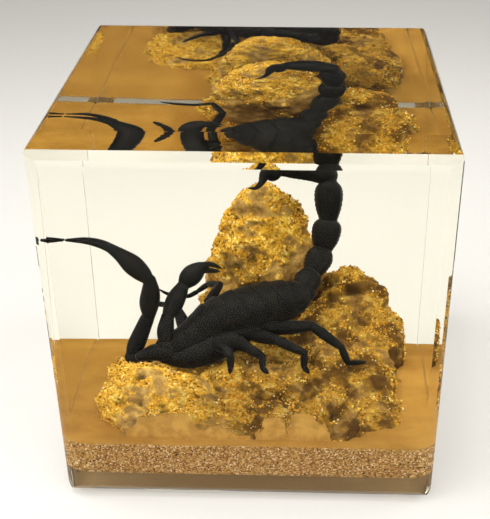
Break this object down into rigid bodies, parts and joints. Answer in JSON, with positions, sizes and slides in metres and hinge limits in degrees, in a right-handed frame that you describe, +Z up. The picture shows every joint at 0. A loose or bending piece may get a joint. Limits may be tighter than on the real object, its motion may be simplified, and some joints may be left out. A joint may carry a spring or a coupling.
{
  "type": "scorpion in resin block",
  "caption": "Clear resin block with a black scorpion inside, posed on a gold sanded rock over a bed of sand.",
  "frame": {"origin": "middle of the block's bottom face", "axes": "+Z up, +X along the block's width to the right as the front is seen, -Y out of the front face"},
  "size_m": [0.06, 0.058, 0.0615],
  "materials": {
    "clear_resin": "polished clear casting resin",
    "sand": "gold-brown sand grains set in resin",
    "rock": "lumpy stone crusted with gold sand",
    "scorpion": "black chitin with a satin shine"
  },
  "bodies": {
    "root": {"resin_lower": "clear_resin", "resin_upper": "clear_resin", "sand_bed": "sand", "rock": "rock", "scorpion": "scorpion"}
  },
  "joints": []
}
